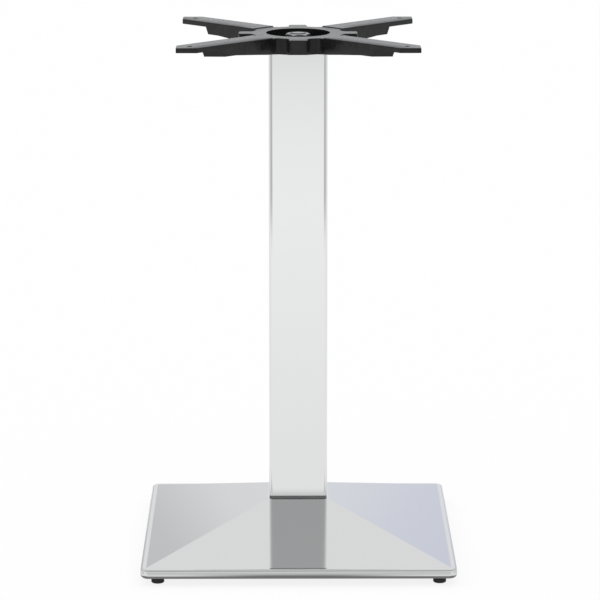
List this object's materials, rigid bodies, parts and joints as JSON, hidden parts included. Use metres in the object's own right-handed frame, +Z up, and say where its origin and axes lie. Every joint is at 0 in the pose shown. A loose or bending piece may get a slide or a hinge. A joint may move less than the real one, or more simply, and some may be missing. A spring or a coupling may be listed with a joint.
{
  "type": "square dining table base",
  "caption": "Pedestal table base: polished square pyramid foot, square column and black cross-shaped cast spider that screws under a table top.",
  "frame": {"origin": "on the floor under the column's axis, at the centre of the square foot", "axes": "+Z up along the column, +X and +Y square to the foot's sides, -Y towards the viewer in the picture"},
  "size_m": [0.425, 0.425, 0.72],
  "materials": {
    "polished_cover": "mirror polished sheet",
    "polished_column": "mirror polished tube",
    "painted_iron": "black semi-gloss paint over a cast skin",
    "ballast_iron": "rough casting with a thin dark primer",
    "zinc_steel": "zinc plated",
    "gasket_rubber": "matt",
    "foot_plastic": "moulded, satin"
  },
  "bodies": {
    "base": {"base_cover": "polished_cover", "base_ballast": "ballast_iron", "column_gasket": "gasket_rubber", "column_tube": "polished_column", "top_spider": "painted_iron", "tie_rod": "zinc_steel", "top_washer": "zinc_steel", "top_nut": "zinc_steel", "bottom_washer": "zinc_steel", "bottom_nut": "zinc_steel"},
    "foot_front_left": {"foot_pad_front_left": "foot_plastic", "foot_stud_front_left": "zinc_steel"},
    "foot_front_right": {"foot_pad_front_right": "foot_plastic", "foot_stud_front_right": "zinc_steel"},
    "foot_back_left": {"foot_pad_back_left": "foot_plastic", "foot_stud_back_left": "zinc_steel"},
    "foot_back_right": {"foot_pad_back_right": "foot_plastic", "foot_stud_back_right": "zinc_steel"}
  },
  "joints": [
    {"name": "foot_front_left_level", "type": "slide", "parent": "base", "child": "foot_front_left", "axis": [0, 0, -1], "range_m": [0, 0.007]},
    {"name": "foot_front_right_level", "type": "slide", "parent": "base", "child": "foot_front_right", "axis": [0, 0, -1], "range_m": [0, 0.007]},
    {"name": "foot_back_left_level", "type": "slide", "parent": "base", "child": "foot_back_left", "axis": [0, 0, -1], "range_m": [0, 0.007]},
    {"name": "foot_back_right_level", "type": "slide", "parent": "base", "child": "foot_back_right", "axis": [0, 0, -1], "range_m": [0, 0.007]}
  ]
}
